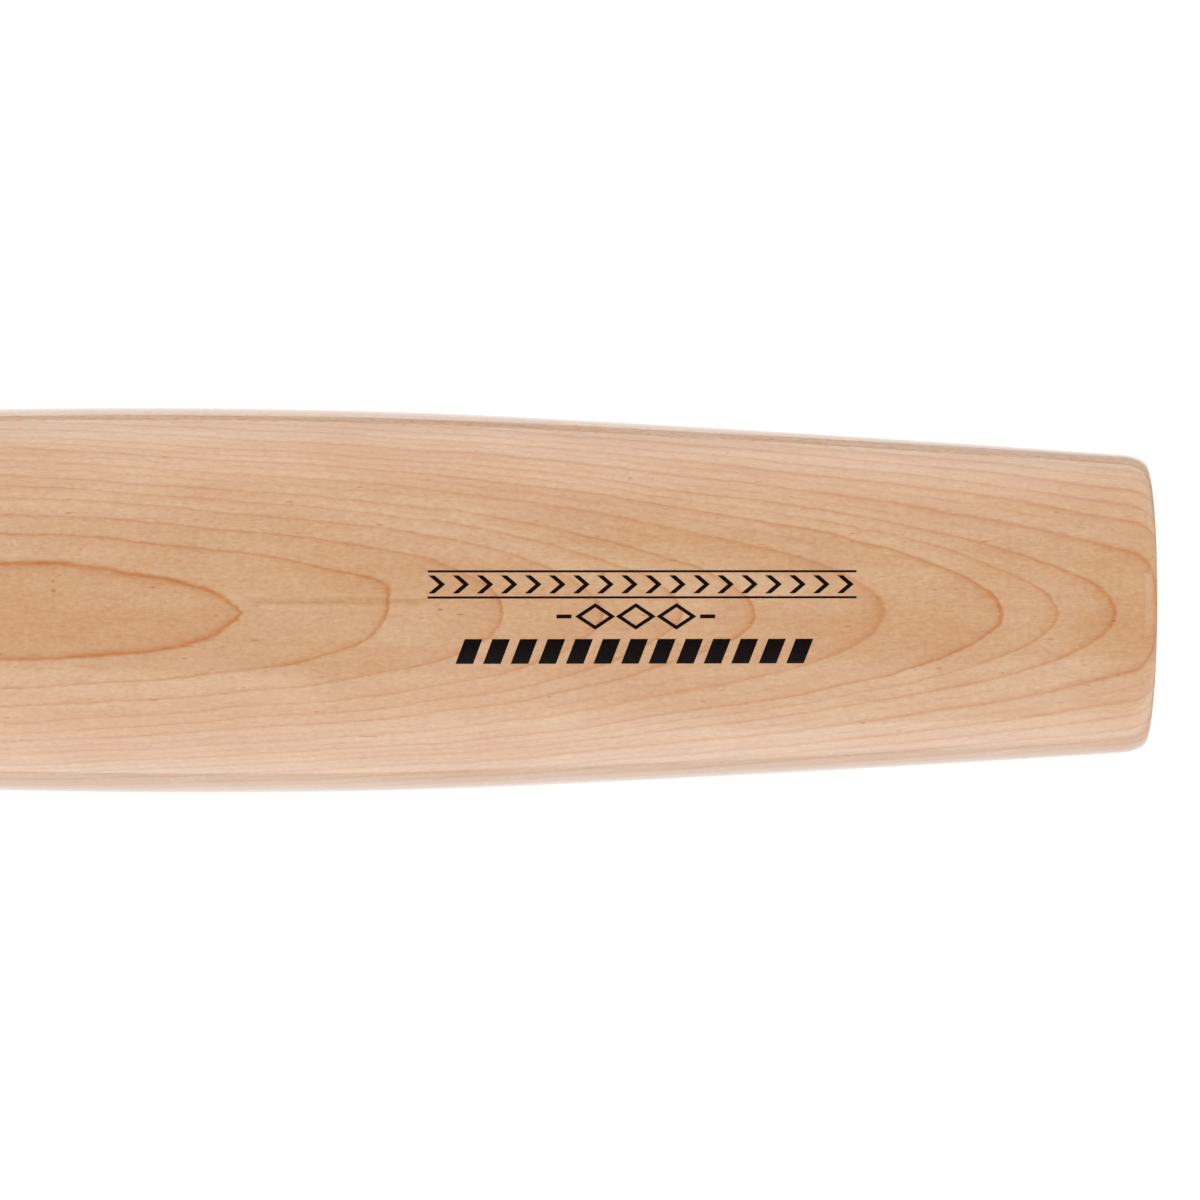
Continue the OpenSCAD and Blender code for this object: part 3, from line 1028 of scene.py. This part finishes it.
def mirrored_at(x, degrees):
    """Where the floor lies that the lacquer mirrors at this angle round from the top."""
    a = math.radians(degrees)
    x = min(x, LENGTH - RIM_ROLL)
    r = turned(x)
    drop = BELLY_R + (x - BELLY_X) * math.tan(LEAN)
    return r * math.sin(a) - (r * math.cos(a) + drop) * math.tan(2 * a)


def floor_strip(name, side, near_edge, far_edge, height, material):
    """A strip of the mirrored floor between two edges that follow the bat and run on past it."""
    places = [20.0 * i for i in range(43)] + [900.0, 1000.0, 2000.0]
    corners = [(x - BELLY_X, side * edge(x), height) for edge in (near_edge, far_edge) for x in places]
    n = len(places)
    faces = [(i, i + 1, n + i + 1, n + i) for i in range(n - 1)]
    stage_sheet(name, corners, faces, material, glossy=True)


# the edge of the bat's own shadow, a thin dark line in the lacquer
SHADE_INNER, SHADE_OUTER, SHADE_SPREAD = 68.4, 73.3, 0.00023
floor_strip("floor_shade", 1,
            lambda x: mirrored_at(x, SHADE_OUTER + max(x - SEEN_FROM, 0.0) ** 2 * SHADE_SPREAD),
            lambda x: mirrored_at(x, SHADE_INNER), 0.3, glow_material("shade", 0.76))


def side_light(name, side, start, drift, fade, along_floor, upright):
    """A long white card at one side that runs on along the floor. Only the lacquer mirrors it.

    Its near edge is mirrored at start degrees round from the top where the picture begins, and at
    drift degrees more for each millimetre after that."""
    floor_strip(name + "_floor", side,
                lambda x: mirrored_at(x, start + (x - SEEN_FROM) * drift), lambda x: CARD_END, 0.5,
                glow_material(name + "_floor", across=along_floor))
    y, top = side * CARD_END, upright[-1][0]
    corners = [(-CARD_HALF_LENGTH, y, 0.5), (CARD_HALF_LENGTH, y, 0.5), (CARD_HALF_LENGTH, y, top),
               (-CARD_HALF_LENGTH, y, top)]
    stage_sheet(name, corners, ONE_SQUARE, glow_material(name, across=upright, along="Z", fade=fade),
                glossy=True)


side_light(
    "light_left", side=1, start=68.6, drift=0.0, fade=0.9,
    along_floor=[(0, 1.4), (86, 1.5), (114, 2.1), (170, 2.3), (332, 2.0), (CARD_END, 2.4)],
    upright=[(0, 2.4), (167, 2.15), (346, 1.35), (548, 1.15), (797, 0.7), (1132, 0.15), (1900, 0.1)],
)
side_light(
    "light_right", side=-1, start=63.5, drift=0.0125, fade=0.75,
    along_floor=[(0, 1.8), (80, 1.8), (96, 2.7), (170, 2.9), (332, 3.1), (CARD_END, 3.2)],
    upright=[(0, 3.2), (167, 3.05), (346, 2.2), (548, 1.7), (797, 1.5), (1000, 1.1), (1200, 0.2),
             (1900, 0.08)],
)

# the dim place overhead where the camera hangs, again only for the lacquer's mirror
overhead = [(x, y, 1900.0) for x, y in ((-2600, -1000), (1500, -1000), (1500, 1000), (-2600, 1000))]
stage_sheet("ceiling", overhead, ONE_SQUARE, glow_material("ceiling", 0.06), glossy=True)

# the white room round the camera
bpy.ops.mesh.primitive_uv_sphere_add(radius=STAGE_REACH * MM * 0.99, segments=48, ring_count=24)
room = bpy.context.object
room.name = "room"
room.data.materials.append(glow_material("room_white", WHITE))
room.visible_diffuse = room.visible_glossy = room.visible_shadow = False

# white light from all round, strongest from overhead
SKY_BELOW, SKY_ABOVE = 0.76, 1.1
world = bpy.data.worlds.new("studio")
world.use_nodes = True
bpy.context.scene.world = world
sky = world.node_tree
coord = sky.nodes.new("ShaderNodeTexCoord")
parts = sky.nodes.new("ShaderNodeSeparateXYZ")
rise = sky.nodes.new("ShaderNodeMapRange")
sky.links.new(coord.outputs["Generated"], parts.inputs[0])
sky.links.new(parts.outputs["Z"], rise.inputs["Value"])
rise.inputs["To Min"].default_value = SKY_BELOW
rise.inputs["To Max"].default_value = SKY_ABOVE
sky.links.new(rise.outputs[0], sky.nodes["Background"].inputs["Strength"])
sky.nodes["Background"].inputs["Color"].default_value = (1.0, 1.0, 1.0, 1.0)

# the camera looks straight down on the barrel's last part, turned a hair as in the photograph
CAMERA_BACK = 89.85
CAMERA_ASIDE = 0.31
CAMERA_HEIGHT = 1000.0
CAMERA_TURN = 0.0037
FRAME_WIDTH = 197.93
SENSOR = 36.0
camera_data = bpy.data.cameras.new("camera")
camera_data.sensor_width = SENSOR
camera_data.lens = SENSOR * CAMERA_HEIGHT / FRAME_WIDTH
camera_data.clip_end = 40.0
camera = bpy.data.objects.new("camera", camera_data)
bpy.context.scene.collection.objects.link(camera)
camera.location = ((LENGTH - CAMERA_BACK) * MM, CAMERA_ASIDE * MM, CAMERA_HEIGHT * MM)
camera.rotation_euler = (0.0, 0.0, CAMERA_TURN)
bpy.context.scene.camera = camera

bpy.context.scene.view_settings.view_transform = "Standard"
bpy.context.scene.view_settings.look = "None"
